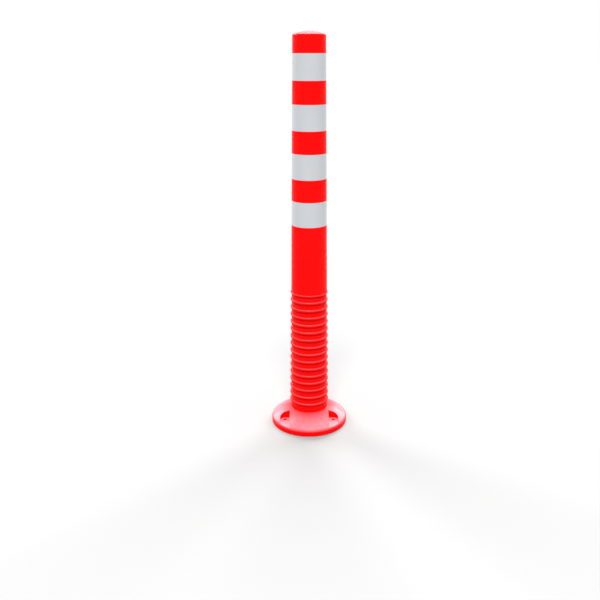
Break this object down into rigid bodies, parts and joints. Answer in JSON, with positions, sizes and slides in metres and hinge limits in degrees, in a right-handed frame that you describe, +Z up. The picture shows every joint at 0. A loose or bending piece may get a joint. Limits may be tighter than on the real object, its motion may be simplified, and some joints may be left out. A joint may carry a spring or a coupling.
{
  "type": "delineator post",
  "caption": "Flexible traffic delineator post: round bolted base, ribbed bending section and tapered hollow post with white reflective bands.",
  "frame": {"origin": "centre of the underside of the base, on the road surface", "axes": "+Z up along the post; -Y is the front, with a bolt seat at each side of it and the third bolt straight behind, at +Y"},
  "size_m": [0.2, 0.2, 1],
  "materials": {
    "body_plastic": "gloss",
    "cap_plastic": "gloss",
    "reflective_film": "satin"
  },
  "bodies": {
    "base": {"base_flange": "body_plastic"},
    "ring_01": {"flex_ring_01": "body_plastic"},
    "ring_02": {"flex_ring_02": "body_plastic"},
    "ring_03": {"flex_ring_03": "body_plastic"},
    "ring_04": {"flex_ring_04": "body_plastic"},
    "ring_05": {"flex_ring_05": "body_plastic"},
    "ring_06": {"flex_ring_06": "body_plastic"},
    "ring_07": {"flex_ring_07": "body_plastic"},
    "ring_08": {"flex_ring_08": "body_plastic"},
    "ring_09": {"flex_ring_09": "body_plastic"},
    "ring_10": {"flex_ring_10": "body_plastic"},
    "ring_11": {"flex_ring_11": "body_plastic"},
    "ring_12": {"flex_ring_12": "body_plastic"},
    "ring_13": {"flex_ring_13": "body_plastic"},
    "ring_14": {"flex_ring_14": "body_plastic"},
    "ring_15": {"flex_ring_15": "body_plastic"},
    "post": {"post_tube": "body_plastic", "top_cap": "cap_plastic", "reflective_band_1": "reflective_film", "reflective_band_2": "reflective_film", "reflective_band_3": "reflective_film", "reflective_band_4": "reflective_film"}
  },
  "joints": [
    {"name": "lean_side_01", "type": "hinge", "parent": "base", "child": "ring_01", "pos_m": [0, 0, 0.0524], "axis": [0, 1, 0], "range_deg": [-11.25, 11.25], "stiffness_Nm_per_rad": 400},
    {"name": "lean_front_02", "type": "hinge", "parent": "ring_01", "child": "ring_02", "pos_m": [0, 0, 0.0724], "axis": [1, 0, 0], "range_deg": [-6.25, 6.25], "stiffness_Nm_per_rad": 400},
    {"name": "lean_side_03", "type": "hinge", "parent": "ring_02", "child": "ring_03", "pos_m": [0, 0, 0.0924], "axis": [0, 1, 0], "range_deg": [-11.25, 11.25], "stiffness_Nm_per_rad": 400},
    {"name": "lean_front_04", "type": "hinge", "parent": "ring_03", "child": "ring_04", "pos_m": [0, 0, 0.1124], "axis": [1, 0, 0], "range_deg": [-6.25, 6.25], "stiffness_Nm_per_rad": 400},
    {"name": "lean_side_05", "type": "hinge", "parent": "ring_04", "child": "ring_05", "pos_m": [0, 0, 0.1324], "axis": [0, 1, 0], "range_deg": [-11.25, 11.25], "stiffness_Nm_per_rad": 400},
    {"name": "lean_front_06", "type": "hinge", "parent": "ring_05", "child": "ring_06", "pos_m": [0, 0, 0.1524], "axis": [1, 0, 0], "range_deg": [-6.25, 6.25], "stiffness_Nm_per_rad": 400},
    {"name": "lean_side_07", "type": "hinge", "parent": "ring_06", "child": "ring_07", "pos_m": [0, 0, 0.1724], "axis": [0, 1, 0], "range_deg": [-11.25, 11.25], "stiffness_Nm_per_rad": 400},
    {"name": "lean_front_08", "type": "hinge", "parent": "ring_07", "child": "ring_08", "pos_m": [0, 0, 0.1924], "axis": [1, 0, 0], "range_deg": [-6.25, 6.25], "stiffness_Nm_per_rad": 400},
    {"name": "lean_side_09", "type": "hinge", "parent": "ring_08", "child": "ring_09", "pos_m": [0, 0, 0.2124], "axis": [0, 1, 0], "range_deg": [-11.25, 11.25], "stiffness_Nm_per_rad": 400},
    {"name": "lean_front_10", "type": "hinge", "parent": "ring_09", "child": "ring_10", "pos_m": [0, 0, 0.2324], "axis": [1, 0, 0], "range_deg": [-6.25, 6.25], "stiffness_Nm_per_rad": 400},
    {"name": "lean_side_11", "type": "hinge", "parent": "ring_10", "child": "ring_11", "pos_m": [0, 0, 0.2524], "axis": [0, 1, 0], "range_deg": [-11.25, 11.25], "stiffness_Nm_per_rad": 400},
    {"name": "lean_front_12", "type": "hinge", "parent": "ring_11", "child": "ring_12", "pos_m": [0, 0, 0.2724], "axis": [1, 0, 0], "range_deg": [-6.25, 6.25], "stiffness_Nm_per_rad": 400},
    {"name": "lean_side_13", "type": "hinge", "parent": "ring_12", "child": "ring_13", "pos_m": [0, 0, 0.2924], "axis": [0, 1, 0], "range_deg": [-11.25, 11.25], "stiffness_Nm_per_rad": 400},
    {"name": "lean_front_14", "type": "hinge", "parent": "ring_13", "child": "ring_14", "pos_m": [0, 0, 0.3124], "axis": [1, 0, 0], "range_deg": [-6.25, 6.25], "stiffness_Nm_per_rad": 400},
    {"name": "lean_side_15", "type": "hinge", "parent": "ring_14", "child": "ring_15", "pos_m": [0, 0, 0.3324], "axis": [0, 1, 0], "range_deg": [-11.25, 11.25], "stiffness_Nm_per_rad": 400},
    {"name": "lean_front_16", "type": "hinge", "parent": "ring_15", "child": "post", "pos_m": [0, 0, 0.3524], "axis": [1, 0, 0], "range_deg": [-6.25, 6.25], "stiffness_Nm_per_rad": 400}
  ],
  "couplings": [
    {"joint": "lean_side_03", "follows": "lean_side_01", "ratio": 1},
    {"joint": "lean_front_04", "follows": "lean_front_02", "ratio": 1},
    {"joint": "lean_side_05", "follows": "lean_side_01", "ratio": 1},
    {"joint": "lean_front_06", "follows": "lean_front_02", "ratio": 1},
    {"joint": "lean_side_07", "follows": "lean_side_01", "ratio": 1},
    {"joint": "lean_front_08", "follows": "lean_front_02", "ratio": 1},
    {"joint": "lean_side_09", "follows": "lean_side_01", "ratio": 1},
    {"joint": "lean_front_10", "follows": "lean_front_02", "ratio": 1},
    {"joint": "lean_side_11", "follows": "lean_side_01", "ratio": 1},
    {"joint": "lean_front_12", "follows": "lean_front_02", "ratio": 1},
    {"joint": "lean_side_13", "follows": "lean_side_01", "ratio": 1},
    {"joint": "lean_front_14", "follows": "lean_front_02", "ratio": 1},
    {"joint": "lean_side_15", "follows": "lean_side_01", "ratio": 1},
    {"joint": "lean_front_16", "follows": "lean_front_02", "ratio": 1}
  ]
}
